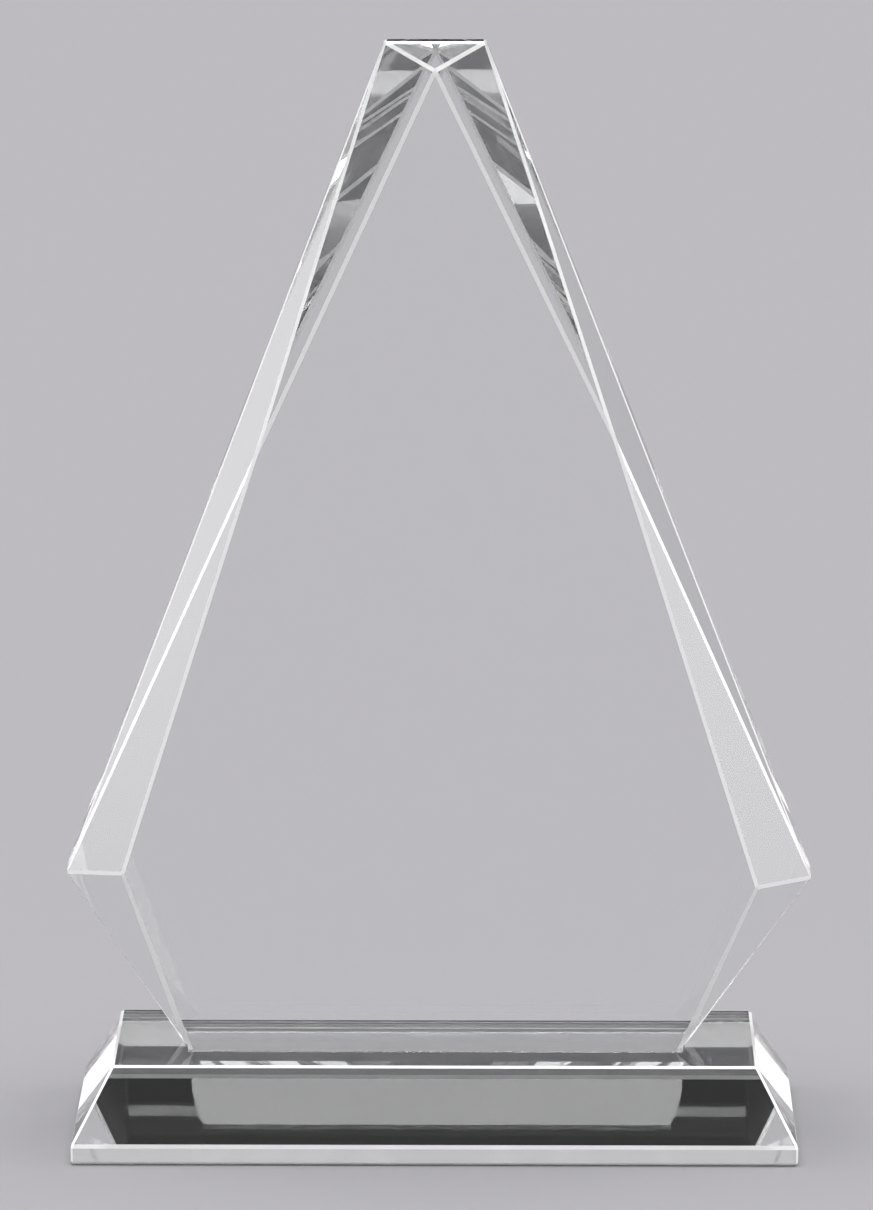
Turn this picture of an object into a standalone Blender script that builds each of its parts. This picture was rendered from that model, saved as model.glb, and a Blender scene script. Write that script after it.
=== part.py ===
"""Crystal award: a faceted upright plate bonded on a faceted base, all in clear optical crystal.

Metres, +Z up, the front faces -Y. The origin is the middle of the base's underside.
"""

import math

import bmesh
import bpy

COLLECTION = "crystal_award"

# Base block: a low rectangular slab whose four sides lean in above a short upright band.
BASE_WIDTH = 0.1656
BASE_DEPTH = 0.0704
BASE_HEIGHT = 0.0207
BASE_BAND = 0.0042
BASE_TOP_WIDTH = 0.1472
BASE_TOP_DEPTH = 0.0514
BASE_ARRIS = 0.0005

# Bond line: a film of cured adhesive, a touching gap below the plate and above the base.
TOUCHING_GAP = 0.0003
FILM_THICKNESS = 0.0004
FILM_INSET = 0.0008

# Plate: seen from the front, each side runs straight out from the top land to a corner, then in
# to the foot. The front face is smaller than that outline, so bevel facets lead out to it.
AWARD_HEIGHT = 0.2540
PLATE_THICKNESS = 0.0260
PLATE_ARRIS = 0.0004
FOOT_HEIGHT = BASE_HEIGHT + FILM_THICKNESS + 2 * TOUCHING_GAP

TOP_HALF_WIDTH = 0.0114
TOP_LAND_FRONT = -0.0095
TOP_LAND_BACK = -0.0045
FRONT_PEAK = 0.2479
BACK_PEAK = 0.2458
BACK_SHOULDER = 0.0950
GIRDLE = 0.0
FOOT_GIRDLE_HALF = 0.0580
FOOT_FRONT_HALF = 0.0566

# Hand-cut sides differ a little: (half width, height) of the knee where the front face's edge
# changes slope, of the corner on the outer outline, and of the front face's own corner.
SIDES = {
    -1: {"knee": (0.0408, 0.1597), "corner": (0.0851, 0.0600), "front_corner": (0.0716, 0.0627)},
    +1: {"knee": (0.0409, 0.1636), "corner": (0.0867, 0.0590), "front_corner": (0.0738, 0.0597)},
}

CRYSTAL_COLOUR = (0.95, 0.96, 0.98, 1.0)
ADHESIVE_COLOUR = (0.93, 0.95, 0.95, 1.0)
CRYSTAL_IOR = 1.517
ADHESIVE_IOR = 1.50
FLAT_FACET_ANGLE = math.radians(0.2)
ARRIS_ANGLE = math.radians(5.0)
MERGE_DISTANCE = 0.00001


def clear_scene():
    for scene_object in list(bpy.data.objects):
        bpy.data.objects.remove(scene_object, do_unlink=True)


def clear_material(name, colour, ior):
    material = bpy.data.materials.new(name)
    material.use_nodes = True
    shader = material.node_tree.nodes["Principled BSDF"]
    shader.inputs["Base Color"].default_value = colour
    shader.inputs["Roughness"].default_value = 0.02
    shader.inputs["Metallic"].default_value = 0.0
    shader.inputs["IOR"].default_value = ior
    shader.inputs["Transmission Weight"].default_value = 1.0
    material.diffuse_color = colour
    return material


def faceted_solid(name, corners, material, collection, arris):
    """The solid that the flat facets through these corners enclose, with ground edges."""
    solid = bmesh.new()
    for corner in corners:
        solid.verts.new(corner)
    bmesh.ops.convex_hull(solid, input=solid.verts)
    bmesh.ops.remove_doubles(solid, verts=solid.verts, dist=MERGE_DISTANCE)
    bmesh.ops.dissolve_limit(
        solid, angle_limit=FLAT_FACET_ANGLE, verts=solid.verts, edges=solid.edges
    )
    bmesh.ops.recalc_face_normals(solid, faces=solid.faces)
    mesh = bpy.data.meshes.new(name)
    solid.to_mesh(mesh)
    solid.free()
    mesh.materials.append(material)
    piece = bpy.data.objects.new(name, mesh)
    collection.objects.link(piece)
    if arris:
        bevel = piece.modifiers.new("ground_arris", "BEVEL")
        bevel.width = arris
        bevel.segments = 1
        bevel.limit_method = "ANGLE"
        bevel.angle_limit = ARRIS_ANGLE
    return piece


def base_corners():
    """The corners of the underside, of the upright band's top and of the top face."""
    corners = []
    for side in (-1, 1):
        for face in (-1, 1):
            for height in (0.0, BASE_BAND):
                corners.append((side * BASE_WIDTH / 2, face * BASE_DEPTH / 2, height))
            corners.append((side * BASE_TOP_WIDTH / 2, face * BASE_TOP_DEPTH / 2, BASE_HEIGHT))
    return corners


def foot_outline(inset=0.0):
    """The plate's foot seen from above: straight behind the girdle, drawn in towards the front."""
    half_depth = PLATE_THICKNESS / 2 - inset
    for side in (-1, 1):
        yield side * (FOOT_GIRDLE_HALF - inset), half_depth
        yield side * (FOOT_GIRDLE_HALF - inset), GIRDLE
        yield side * (FOOT_FRONT_HALF - inset), -half_depth


def film_corners():
    low = BASE_HEIGHT + TOUCHING_GAP
    return [
        (x, y, height)
        for x, y in foot_outline(FILM_INSET)
        for height in (low, low + FILM_THICKNESS)
    ]


def outline_half_width(corner, height):
    """Half width of the straight upper outline at a height."""
    corner_half, corner_height = corner
    share = (AWARD_HEIGHT - height) / (AWARD_HEIGHT - corner_height)
    return TOP_HALF_WIDTH + (corner_half - TOP_HALF_WIDTH) * share


def plate_corners():
    front = -PLATE_THICKNESS / 2
    back = PLATE_THICKNESS / 2
    corners = [(0.0, front, FRONT_PEAK), (0.0, back, BACK_PEAK)]
    corners += [(x, y, FOOT_HEIGHT) for x, y in foot_outline()]
    for side, points in SIDES.items():
        corner_half, corner_height = points["corner"]
        for depth in (TOP_LAND_FRONT, TOP_LAND_BACK):
            corners.append((side * TOP_HALF_WIDTH, depth, AWARD_HEIGHT))
        for depth in (GIRDLE, back):
            corners.append((side * corner_half, depth, corner_height))
        for name in ("knee", "front_corner"):
            half, height = points[name]
            corners.append((side * half, front, height))
        shoulder_half = outline_half_width(points["corner"], BACK_SHOULDER)
        corners.append((side * shoulder_half, back, BACK_SHOULDER))
    return corners


def main():
    clear_scene()
    collection = bpy.data.collections.new(COLLECTION)
    bpy.context.scene.collection.children.link(collection)
    plate_glass = clear_material("plate_crystal", CRYSTAL_COLOUR, CRYSTAL_IOR)
    base_glass = clear_material("base_crystal", CRYSTAL_COLOUR, CRYSTAL_IOR)
    adhesive = clear_material("cured_adhesive", ADHESIVE_COLOUR, ADHESIVE_IOR)
    faceted_solid("crystal_base", base_corners(), base_glass, collection, BASE_ARRIS)
    faceted_solid("bond_film", film_corners(), adhesive, collection, 0.0)
    faceted_solid("crystal_plate", plate_corners(), plate_glass, collection, PLATE_ARRIS)


main()
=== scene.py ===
"""Crystal award: looks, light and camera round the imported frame.

Everything is in metres in the frame of the CAD: +Z up, the front faces -Y.
"""

import math

import bmesh
import bpy
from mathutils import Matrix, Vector


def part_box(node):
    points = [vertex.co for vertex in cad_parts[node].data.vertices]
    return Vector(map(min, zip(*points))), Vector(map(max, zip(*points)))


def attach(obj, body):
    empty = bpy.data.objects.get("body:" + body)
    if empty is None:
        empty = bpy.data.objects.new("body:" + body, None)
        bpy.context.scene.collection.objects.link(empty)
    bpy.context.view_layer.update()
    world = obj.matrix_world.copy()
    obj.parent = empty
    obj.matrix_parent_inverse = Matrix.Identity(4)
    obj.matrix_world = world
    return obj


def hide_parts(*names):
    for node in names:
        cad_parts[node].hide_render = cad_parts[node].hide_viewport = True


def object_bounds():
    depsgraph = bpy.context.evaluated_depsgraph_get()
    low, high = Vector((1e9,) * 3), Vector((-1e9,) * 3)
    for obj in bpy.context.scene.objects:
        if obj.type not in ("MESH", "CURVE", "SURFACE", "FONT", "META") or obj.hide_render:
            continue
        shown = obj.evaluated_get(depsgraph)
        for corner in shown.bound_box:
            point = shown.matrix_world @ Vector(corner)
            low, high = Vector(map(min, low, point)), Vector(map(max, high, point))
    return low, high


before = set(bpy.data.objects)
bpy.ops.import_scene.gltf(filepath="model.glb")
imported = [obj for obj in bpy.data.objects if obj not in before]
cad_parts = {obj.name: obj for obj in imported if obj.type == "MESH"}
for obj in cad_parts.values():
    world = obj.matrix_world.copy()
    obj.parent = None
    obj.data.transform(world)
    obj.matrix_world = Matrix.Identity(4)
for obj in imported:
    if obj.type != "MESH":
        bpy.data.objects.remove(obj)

CAD_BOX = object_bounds()
HEIGHT = CAD_BOX[1].z
_, BASE_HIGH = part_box("crystal_base")
PLATE_LOW, PLATE_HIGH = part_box("crystal_plate")

# Camera, at the angle the object is seen from.
CAMERA_DISTANCE = 1.9
CAMERA_ELEVATION = math.radians(11.55)
CAMERA_YAW = math.radians(0.44)
FOCAL_FRAME_HEIGHTS = 6.8656
SENSOR = 36.0
SHIFT = (0.00087, -0.01451)

# Sizes of the two crystal blocks that the CAD gives only through its corners.
BASE_BAND = 0.0042
BASE_TOP_HALF = (0.0736, 0.0257)
ARRIS = 0.0005

PLATE_HALF_THICKNESS = (PLATE_HIGH.y - PLATE_LOW.y) / 2
TOP_HALF_WIDTH = 0.0114
TOP_LAND_FRONT = -0.0095
TOP_LAND_BACK = -0.0045
FRONT_PEAK = 0.2479
BACK_PEAK = 0.2458
BACK_SHOULDER = 0.0950
GIRDLE = 0.0
FOOT_GIRDLE_HALF = 0.0580
FOOT_FRONT_HALF = 0.0566
SIDES = {
    -1: {"knee": (0.0408, 0.1597), "corner": (0.0851, 0.0600), "front_corner": (0.0716, 0.0627)},
    +1: {"knee": (0.0409, 0.1636), "corner": (0.0867, 0.0590), "front_corner": (0.0738, 0.0597)},
}

BASE_TOP = BASE_HIGH.z
CONTACT = 0.00001
FILM_THICKNESS = 0.00012
FOOT = BASE_TOP + FILM_THICKNESS + 2 * CONTACT

CRYSTAL_IOR = 1.517
ADHESIVE_IOR = 1.50
CRYSTAL_COLOUR = (0.985, 0.99, 0.99)

FLOOR_RADIUS = 9.0
FLOOR_DROP = 0.0003      # below the base, so that the two don't lie in one plane
ARRIS_LEAST_ANGLE = math.radians(5.0)
FLAT_ANGLE = math.radians(0.2)
SAME_POINT = 0.00001

scene = bpy.context.scene


# ---------------------------------------------------------------- nodes

class Nodes:
    """A short way to write a node tree."""

    def __init__(self, tree):
        self.tree = tree
        tree.nodes.clear()

    def add(self, kind, settings=None, **inputs):
        node = self.tree.nodes.new(kind)
        for key, value in (settings or {}).items():
            setattr(node, key, value)
        for key, value in inputs.items():
            self.set(node, key, value)
        return node

    def set(self, node, key, value):
        by_index = key[0] == "i" and key[1:].isdigit()
        socket = node.inputs[int(key[1:]) if by_index else key.replace("_", " ")]
        if isinstance(value, bpy.types.NodeSocket):
            self.tree.links.new(value, socket)
        elif isinstance(value, bpy.types.Node):
            self.tree.links.new(value.outputs[0], socket)
        else:
            socket.default_value = value
        return node

    def math(self, operation, a, b=0.0, clamp=False):
        return self.add("ShaderNodeMath", {"operation": operation, "use_clamp": clamp}, i0=a, i1=b).outputs[0]

    def ramp(self, value, low, high, out_low=0.0, out_high=1.0, smooth=True):
        node = self.add("ShaderNodeMapRange", {"interpolation_type": "SMOOTHSTEP" if smooth else "LINEAR"})
        for key, v in (("i0", value), ("i1", low), ("i2", high), ("i3", out_low), ("i4", out_high)):
            self.set(node, key, v)
        return node.outputs[0]


def new_material(name):
    material = bpy.data.materials.new(name)
    material.use_nodes = True
    return material, Nodes(material.node_tree)


# ---------------------------------------------------------------- materials

def crystal(name, colour, seed, ior=CRYSTAL_IOR, haze=0.0):
    """Polished optical crystal: faint wipe marks and dust in the polish, and a trace of hand-lap waviness."""
    material, n = new_material(name)
    place = n.add("ShaderNodeTexCoord").outputs["Object"]
    moved = n.add("ShaderNodeVectorMath", {"operation": "ADD"}, i0=place, i1=(seed * 0.37, seed * 0.11, seed * 0.23))
    wipe = n.add("ShaderNodeTexNoise", None, Vector=moved, Scale=90.0, Detail=5.0, Roughness=0.62)
    roughness = n.ramp(wipe.outputs[0], 0.50, 0.86, haze, haze + 0.012)
    wave = n.add("ShaderNodeTexNoise", None, Vector=moved, Scale=42.0, Detail=1.0)
    bump = n.add("ShaderNodeBump", None, Strength=0.02, Distance=0.0004, Height=wave.outputs[0])
    shader = n.add("ShaderNodeBsdfPrincipled", None, Base_Color=(*colour, 1.0), Roughness=roughness, IOR=ior,
                   Normal=bump.outputs[0])
    n.set(shader, "Transmission_Weight", 1.0)
    n.add("ShaderNodeOutputMaterial", None, Surface=shader)
    return material


def ground_crystal(name, colour, clear, roughness, seed):
    """A fine-ground edge: part of the light goes through, and the rest is scattered white."""
    material, n = new_material(name)
    place = n.add("ShaderNodeTexCoord").outputs["Object"]
    grain = n.add("ShaderNodeTexNoise", None, Vector=place, Scale=600.0 + seed, Detail=4.0, Roughness=0.7)
    wear = n.add("ShaderNodeTexNoise", None, Vector=place, Scale=55.0 + seed, Detail=3.0)
    rough = n.ramp(wear.outputs[0], 0.3, 0.7, roughness * 0.6, roughness * 1.4)
    bump = n.add("ShaderNodeBump", None, Strength=0.15, Distance=0.00005, Height=grain.outputs[0])
    shader = n.add("ShaderNodeBsdfPrincipled", None, Base_Color=(*colour, 1.0), Roughness=rough, IOR=CRYSTAL_IOR,
                   Normal=bump.outputs[0])
    n.set(shader, "Transmission_Weight", clear)
    n.add("ShaderNodeOutputMaterial", None, Surface=shader)
    return material


def bonded_patch(name, seed):
    """Where crystal meets adhesive of the same index there is no surface to see, apart from tiny bubbles."""
    material, n = new_material(name)
    place = n.add("ShaderNodeTexCoord").outputs["Object"]
    cells = n.add("ShaderNodeTexVoronoi", {"voronoi_dimensions": "3D"}, Vector=place, Scale=420.0)
    keep = n.add("ShaderNodeTexNoise", None, Vector=place, Scale=70.0 + seed, Detail=2.0)
    dots = n.math("LESS_THAN", cells.outputs["Distance"], 0.10)
    few = n.math("GREATER_THAN", keep.outputs[0], 0.66)
    mask = n.math("MULTIPLY", dots, few)
    clear = n.add("ShaderNodeBsdfTransparent", None, Color=(1.0, 1.0, 1.0, 1.0))
    bubble = n.add("ShaderNodeBsdfPrincipled", None, Base_Color=(0.9, 0.92, 0.93, 1.0), Roughness=0.25)
    mixed = n.add("ShaderNodeMixShader", None, i0=mask, i1=clear, i2=bubble)
    n.add("ShaderNodeOutputMaterial", None, Surface=mixed)
    return material


def floor_material():
    """One plain, pale, matt surface, lit by the studio."""
    material, n = new_material("studio_sweep")
    shader = n.add("ShaderNodeBsdfDiffuse", None, Color=(*FLOOR_COLOUR, 1.0), Roughness=0.0)
    n.add("ShaderNodeOutputMaterial", None, Surface=shader)
    return material


# ---------------------------------------------------------------- shapes

def hull_mesh(corners):
    mesh = bmesh.new()
    for corner in corners:
        mesh.verts.new(corner)
    bmesh.ops.convex_hull(mesh, input=mesh.verts)
    bmesh.ops.remove_doubles(mesh, verts=mesh.verts, dist=SAME_POINT)
    bmesh.ops.dissolve_limit(mesh, angle_limit=FLAT_ANGLE, verts=mesh.verts, edges=mesh.edges)
    bmesh.ops.recalc_face_normals(mesh, faces=mesh.faces)
    return mesh


def cut_arrises(mesh, width, skip):
    """Grinds a narrow flat along every edge between two facets, except those that skip() keeps sharp."""
    edges = []
    for edge in mesh.edges:
        if len(edge.link_faces) == 2 and edge.calc_face_angle(0.0) > ARRIS_LEAST_ANGLE and not skip(edge):
            edges.append(edge)
    bmesh.ops.bevel(mesh, geom=edges, offset=width, offset_type="OFFSET", segments=1, profile=0.5,
                    affect="EDGES", clamp_overlap=True, material=1)


def piece(name, mesh, node, materials):
    data = bpy.data.meshes.new(name)
    bmesh.ops.recalc_face_normals(mesh, faces=mesh.faces)
    mesh.to_mesh(data)
    mesh.free()
    for material in materials:
        data.materials.append(material)
    obj = bpy.data.objects.new(name, data)
    scene.collection.objects.link(obj)
    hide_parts(node)
    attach(obj, "root")
    return obj


def foot_outline(outset=0.0):
    points = []
    for side in (-1, 1):
        points.append((side * (FOOT_GIRDLE_HALF + outset), PLATE_HALF_THICKNESS + outset))
        points.append((side * (FOOT_GIRDLE_HALF + outset), GIRDLE))
        points.append((side * (FOOT_FRONT_HALF + outset), -PLATE_HALF_THICKNESS - outset))
    return sorted(points, key=lambda p: math.atan2(p[1], p[0]))


def plate_corners():
    back, front = PLATE_HALF_THICKNESS, -PLATE_HALF_THICKNESS
    corners = [(0.0, front, FRONT_PEAK), (0.0, back, BACK_PEAK)]
    corners += [(x, y, FOOT) for x, y in foot_outline()]
    for side, cut in SIDES.items():
        half, level = cut["corner"]
        corners += [(side * TOP_HALF_WIDTH, TOP_LAND_FRONT, HEIGHT), (side * TOP_HALF_WIDTH, TOP_LAND_BACK, HEIGHT)]
        corners += [(side * half, GIRDLE, level), (side * half, back, level)]
        for name in ("knee", "front_corner"):
            corners.append((side * cut[name][0], front, cut[name][1]))
        share = (HEIGHT - BACK_SHOULDER) / (HEIGHT - level)
        corners.append((side * (TOP_HALF_WIDTH + (half - TOP_HALF_WIDTH) * share), back, BACK_SHOULDER))
    return corners


def make_plate(crystal_material, arris_material, patch_material):
    mesh = hull_mesh(plate_corners())
    foot = FOOT + SAME_POINT
    cut_arrises(mesh, ARRIS, lambda e: all(v.co.z < foot for v in e.verts))
    for face in mesh.faces:
        if all(v.co.z < foot for v in face.verts):
            face.material_index = 2
    return piece("plate_crystal_block", mesh, "crystal_plate",
                 [crystal_material, arris_material, patch_material])


def make_base(crystal_material, arris_material, patch_material, band_material):
    corners = []
    for sx in (-1, 1):
        for sy in (-1, 1):
            x, y = sx * BASE_HIGH.x, sy * BASE_HIGH.y
            corners += [(x, y, 0.0), (x, y, BASE_BAND), (sx * BASE_TOP_HALF[0], sy * BASE_TOP_HALF[1], BASE_TOP)]
    mesh = hull_mesh(corners)
    cut_arrises(mesh, ARRIS, lambda e: False)
    top = max(mesh.faces, key=lambda f: (round(f.calc_center_median().z, 5), f.calc_area()))
    rim = list(top.edges)
    bmesh.ops.delete(mesh, geom=[top], context="FACES_ONLY")
    ring = [mesh.verts.new((x, y, BASE_TOP)) for x, y in foot_outline()]
    loop = [mesh.edges.new((ring[i], ring[(i + 1) % len(ring)])) for i in range(len(ring))]
    patch = mesh.faces.new(ring)
    bmesh.ops.triangle_fill(mesh, use_beauty=True, use_dissolve=False, edges=rim + loop, normal=(0.0, 0.0, 1.0))
    mesh.faces.ensure_lookup_table()
    doubled = [f for f in mesh.faces if f is not patch and len(f.verts) == 3
               and all(v in ring for v in f.verts)]
    bmesh.ops.delete(mesh, geom=doubled, context="FACES_ONLY")
    patch.material_index = 2
    for face in mesh.faces:
        level = face.calc_center_median().z
        if face.material_index == 0 and 0.0 < level < BASE_BAND and abs(face.normal.z) < 0.1:
            face.material_index = 3
    return piece("base_crystal_block", mesh, "crystal_base",
                 [crystal_material, arris_material, patch_material, band_material])


def make_film(side_material, patch_material):
    """The cured film: its edge bulges a little where the adhesive squeezed out, and was wiped back."""
    low, high = BASE_TOP + CONTACT, BASE_TOP + CONTACT + FILM_THICKNESS
    mesh = bmesh.new()
    rings = []
    for level, outset in ((low, 0.00020), ((low + high) / 2, 0.00012), (high, 0.00004)):
        rings.append([mesh.verts.new((x, y, level)) for x, y in foot_outline(outset)])
    for lower, upper in zip(rings, rings[1:]):
        for i in range(len(lower)):
            j = (i + 1) % len(lower)
            mesh.faces.new((lower[i], lower[j], upper[j], upper[i]))
    for ring in (rings[0], rings[-1]):
        mesh.faces.new(ring).material_index = 1
    return piece("bond_film_adhesive", mesh, "bond_film", [side_material, patch_material])


# ---------------------------------------------------------------- studio

def direction(azimuth, elevation):
    """Azimuth 0 is towards the camera, 90 to the right, 180 behind the object."""
    a, e = math.radians(azimuth), math.radians(elevation)
    return Vector((math.sin(a) * math.cos(e), -math.cos(a) * math.cos(e), math.sin(e)))


# A plain studio: white soft boxes overhead, on both sides and in front, in a dim room. Each is the part
# of the sky that it fills, in degrees, and the edge is the soft share of its half size.
def soft_box(azimuth, elevation, width, height, power, edge=0.25):
    return {"azimuth": azimuth, "elevation": elevation, "width": width, "height": height,
            "power": power, "edge": edge}


FLOOR_COLOUR = (0.212, 0.208, 0.218)
ROOM_TONE = 0.035
SOFT_BOXES = (
    soft_box(0, 90, 60, 60, 7.5),
    soft_box(90, 28, 40, 56, 3.5),
    soft_box(-90, 28, 40, 56, 3.5),
    soft_box(0, 20, 60, 30, 1.0),
)


def studio_world():
    world = bpy.data.worlds.new("studio")
    scene.world = world
    world.use_nodes = True
    n = Nodes(world.node_tree)
    ray = n.add("ShaderNodeTexCoord").outputs["Generated"]
    colour = (ROOM_TONE, ROOM_TONE, ROOM_TONE, 1.0)
    for box in SOFT_BOXES:
        toward = direction(box["azimuth"], box["elevation"])
        right = Vector((0.0, 0.0, 1.0)).cross(toward)
        right = right.normalized() if right.length > 0.001 else Vector((1.0, 0.0, 0.0))
        up = toward.cross(right)
        dots = [n.add("ShaderNodeVectorMath", {"operation": "DOT_PRODUCT"}, i0=ray, i1=tuple(axis)).outputs["Value"]
                for axis in (toward, right, up)]
        facing = n.math("MAXIMUM", dots[0], 0.001)
        mask = n.math("GREATER_THAN", dots[0], 0.0)
        for dot, size in ((dots[1], box["width"]), (dots[2], box["height"])):
            half = math.tan(math.radians(size / 2))
            off = n.math("ABSOLUTE", n.math("DIVIDE", dot, facing))
            mask = n.math("MULTIPLY", mask, n.ramp(off, half * (1 - box["edge"]), half, 1.0, 0.0))
        tone = (box["power"],) * 3
        colour = n.add("ShaderNodeMix", {"data_type": "RGBA"}, i0=mask, i6=colour, i7=(*tone, 1.0)).outputs[2]
    background = n.add("ShaderNodeBackground", None, Color=colour, Strength=1.0)
    n.add("ShaderNodeOutputWorld", None, Surface=background)


def make_floor():
    mesh = bmesh.new()
    bmesh.ops.create_circle(mesh, cap_ends=True, segments=96, radius=FLOOR_RADIUS)
    data = bpy.data.meshes.new("studio_floor")
    mesh.to_mesh(data)
    mesh.free()
    floor = bpy.data.objects.new("studio_floor", data)
    scene.collection.objects.link(floor)
    floor.location.z = -FLOOR_DROP
    data.materials.append(floor_material())
    return floor


def make_camera():
    data = bpy.data.cameras.new("camera")
    camera = bpy.data.objects.new("camera", data)
    scene.collection.objects.link(camera)
    target = Vector((0.0, 0.0, HEIGHT / 2))
    back = Vector((math.sin(CAMERA_YAW) * math.cos(CAMERA_ELEVATION),
                   -math.cos(CAMERA_YAW) * math.cos(CAMERA_ELEVATION),
                   math.sin(CAMERA_ELEVATION)))
    camera.location = target + CAMERA_DISTANCE * back
    camera.rotation_euler = (-back).to_track_quat("-Z", "Y").to_euler()
    data.sensor_width = SENSOR
    data.lens = FOCAL_FRAME_HEIGHTS * SENSOR
    data.shift_x, data.shift_y = SHIFT
    data.clip_end = 60.0
    scene.camera = camera
    return camera


def set_light_paths():
    scene.cycles.max_bounces = 32
    scene.cycles.transmission_bounces = 32
    scene.cycles.glossy_bounces = 24
    scene.cycles.transparent_max_bounces = 32
    scene.cycles.caustics_refractive = True
    scene.cycles.caustics_reflective = True
    scene.cycles.sample_clamp_indirect = 12.0
    scene.view_settings.view_transform = "Standard"


def main():
    make_camera()
    set_light_paths()
    make_floor()
    studio_world()
    plate_material = crystal("plate_crystal", CRYSTAL_COLOUR, 1)
    base_material = crystal("base_crystal", CRYSTAL_COLOUR, 2)
    arris_material = ground_crystal("ground_arris", (1.0, 1.0, 1.0), 0.3, 0.18, 3)
    band_material = ground_crystal("satin_band", (0.94, 0.94, 0.95), 0.62, 0.05, 5)
    patch_material = bonded_patch("bonded_contact", 1)
    adhesive_material = crystal("cured_adhesive", (0.97, 0.98, 0.98), 4, ior=ADHESIVE_IOR, haze=0.02)
    make_plate(plate_material, arris_material, patch_material)
    make_base(base_material, arris_material, patch_material, band_material)
    make_film(adhesive_material, patch_material)


main()
